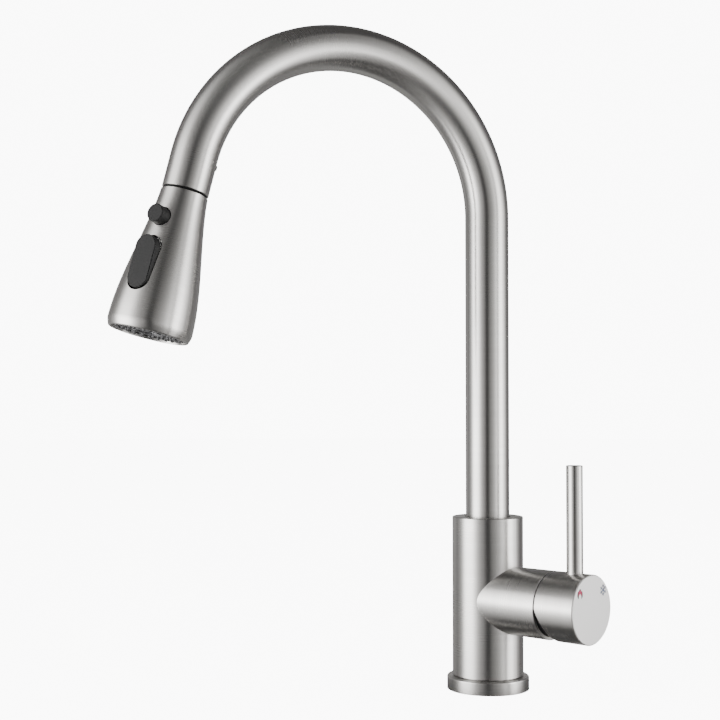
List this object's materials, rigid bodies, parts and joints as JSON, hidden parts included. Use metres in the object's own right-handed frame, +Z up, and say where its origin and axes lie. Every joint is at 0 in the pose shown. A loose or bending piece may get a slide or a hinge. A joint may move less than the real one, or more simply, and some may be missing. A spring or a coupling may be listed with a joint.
{
  "type": "pull down kitchen faucet",
  "caption": "Tall kitchen faucet with a swivelling gooseneck, a tilting side lever and a pull down spray head that has a pause button and a spray rocker.",
  "frame": {"origin": "centre of the base ring's underside, on the deck's top surface", "axes": "+Z up along the upright body; +X along the handle branch, out of the lever hub; the spout points 113 degrees clockwise from +X, seen from above"},
  "size_m": [0.1906, 0.2595, 0.5015],
  "materials": {
    "mixer_body": "brushed",
    "base_ring": "brushed",
    "base_gasket": "matt",
    "mounting_shank": "machined",
    "deck_washer_rubber": "matt",
    "deck_washer_steel": "plain",
    "mounting_nut": "machined",
    "clamp_screws": "zinc plated",
    "valve_core": "machined",
    "cartridge_seat": "machined",
    "port_seals": "matt",
    "cartridge_base": "moulded",
    "cartridge_housing": "moulded",
    "fixed_disc": "polished",
    "cartridge_nut": "machined",
    "dome_cap": "dark",
    "upper_bush": "moulded",
    "lower_bush": "moulded",
    "snap_ring": "spring steel",
    "outlet_tube": "copper tube",
    "hose_lower": "braided",
    "hose_coupling": "moulded",
    "gooseneck": "brushed",
    "neck_sleeve": "machined",
    "neck_orings": "matt",
    "dock_collar": "moulded",
    "collar_screw": "black oxide",
    "hose_upper": "braided",
    "hose_lead": "braided",
    "hose_ferrule": "plain",
    "hose_nut": "machined",
    "hose_washer": "matt",
    "waterway": "moulded",
    "check_valve": "moulded",
    "head_shell": "brushed",
    "control_frame": "moulded",
    "diverter_housing": "moulded",
    "rocker_pin": "plain",
    "pause_spring": "spring steel",
    "pause_button": "satin moulded",
    "mode_rocker": "satin moulded",
    "diverter_spool": "moulded",
    "spray_manifold": "moulded",
    "spray_nozzles": "soft grey",
    "spray_face": "moulded grey",
    "face_seal": "matt",
    "aerator_housing": "moulded",
    "aerator_mesh": "mesh",
    "stem_carrier": "moulded",
    "stem_pin": "ground",
    "moving_disc": "polished",
    "disc_driver": "moulded",
    "cartridge_stem": "machined",
    "lever_hub": "brushed",
    "lever_rod": "brushed",
    "hub_set_screw": "black oxide",
    "hot_mark": "printed",
    "cold_mark": "printed"
  },
  "bodies": {
    "faucet_body": {"mixer_body": "mixer_body", "base_ring": "base_ring", "base_gasket": "base_gasket", "mounting_shank": "mounting_shank", "deck_washer_rubber": "deck_washer_rubber", "deck_washer_steel": "deck_washer_steel", "mounting_nut": "mounting_nut", "clamp_screws": "clamp_screws", "valve_core": "valve_core", "cartridge_seat": "cartridge_seat", "port_seals": "port_seals", "cartridge_base": "cartridge_base", "cartridge_housing": "cartridge_housing", "fixed_disc": "fixed_disc", "cartridge_nut": "cartridge_nut", "dome_cap": "dome_cap", "upper_bush": "upper_bush", "lower_bush": "lower_bush", "snap_ring": "snap_ring", "outlet_tube": "outlet_tube", "hose_lower": "hose_lower", "hose_coupling": "hose_coupling"},
    "spout": {"gooseneck": "gooseneck", "neck_sleeve": "neck_sleeve", "neck_orings": "neck_orings", "dock_collar": "dock_collar", "collar_screw": "collar_screw", "hose_upper": "hose_upper"},
    "hose_end": {"hose_lead": "hose_lead", "hose_ferrule": "hose_ferrule", "hose_nut": "hose_nut", "hose_washer": "hose_washer"},
    "spray_head": {"waterway": "waterway", "check_valve": "check_valve", "head_shell": "head_shell", "control_frame": "control_frame", "diverter_housing": "diverter_housing", "rocker_pin": "rocker_pin", "pause_spring": "pause_spring", "spray_manifold": "spray_manifold", "spray_nozzles": "spray_nozzles", "spray_face": "spray_face", "face_seal": "face_seal", "aerator_housing": "aerator_housing", "aerator_mesh": "aerator_mesh"},
    "pause_key": {"pause_button": "pause_button"},
    "mode_key": {"mode_rocker": "mode_rocker"},
    "spool": {"diverter_spool": "diverter_spool"},
    "cartridge_rotor": {"stem_carrier": "stem_carrier", "stem_pin": "stem_pin"},
    "disc_slider": {"moving_disc": "moving_disc", "disc_driver": "disc_driver"},
    "handle": {"cartridge_stem": "cartridge_stem", "lever_hub": "lever_hub", "lever_rod": "lever_rod", "hub_set_screw": "hub_set_screw", "hot_mark": "hot_mark", "cold_mark": "cold_mark"}
  },
  "joints": [
    {"name": "spout_swivel", "type": "hinge", "parent": "faucet_body", "child": "spout", "pos_m": [0, 0, 0.09], "axis": [0, 0, 1], "continuous": true},
    {"name": "head_pull", "type": "slide", "parent": "spout", "child": "hose_end", "axis": [-0.0979, -0.2306, -0.9681], "range_m": [0, 0.2], "stiffness_N_per_m": 8, "springref_m": -0.45},
    {"name": "head_turn", "type": "hinge", "parent": "hose_end", "child": "spray_head", "pos_m": [-0.07905, -0.18624, 0.30525], "axis": [-0.0979, -0.2306, -0.9681], "continuous": true},
    {"name": "pause_press", "type": "slide", "parent": "spray_head", "child": "pause_key", "axis": [-0.3019, 0.9338, -0.1919], "range_m": [0, 0.0025], "stiffness_N_per_m": 500, "springref_m": -0.003, "deforming": ["pause_spring"]},
    {"name": "rocker_tilt", "type": "hinge", "parent": "spray_head", "child": "mode_key", "pos_m": [-0.0788, -0.21295, 0.26139], "axis": [-0.9483, -0.2735, 0.161], "range_deg": [0, 9]},
    {"name": "spool_slide", "type": "slide", "parent": "spray_head", "child": "spool", "axis": [-0.0979, -0.2306, -0.9681], "range_m": [0, 0.0011]},
    {"name": "handle_turn", "type": "hinge", "parent": "faucet_body", "child": "cartridge_rotor", "pos_m": [0.045, 0, 0.0575], "axis": [1, 0, 0], "range_deg": [-45, 45]},
    {"name": "handle_lift", "type": "hinge", "parent": "cartridge_rotor", "child": "handle", "pos_m": [0.045, 0, 0.0575], "axis": [0, 1, 0], "range_deg": [0, 18]},
    {"name": "disc_slide", "type": "slide", "parent": "cartridge_rotor", "child": "disc_slider", "axis": [0, 0, 1], "range_m": [0, 0.003]}
  ],
  "couplings": [
    {"joint": "spool_slide", "follows": "rocker_tilt", "m_per_rad": 0.0063},
    {"joint": "disc_slide", "follows": "handle_lift", "m_per_rad": 0.009}
  ]
}
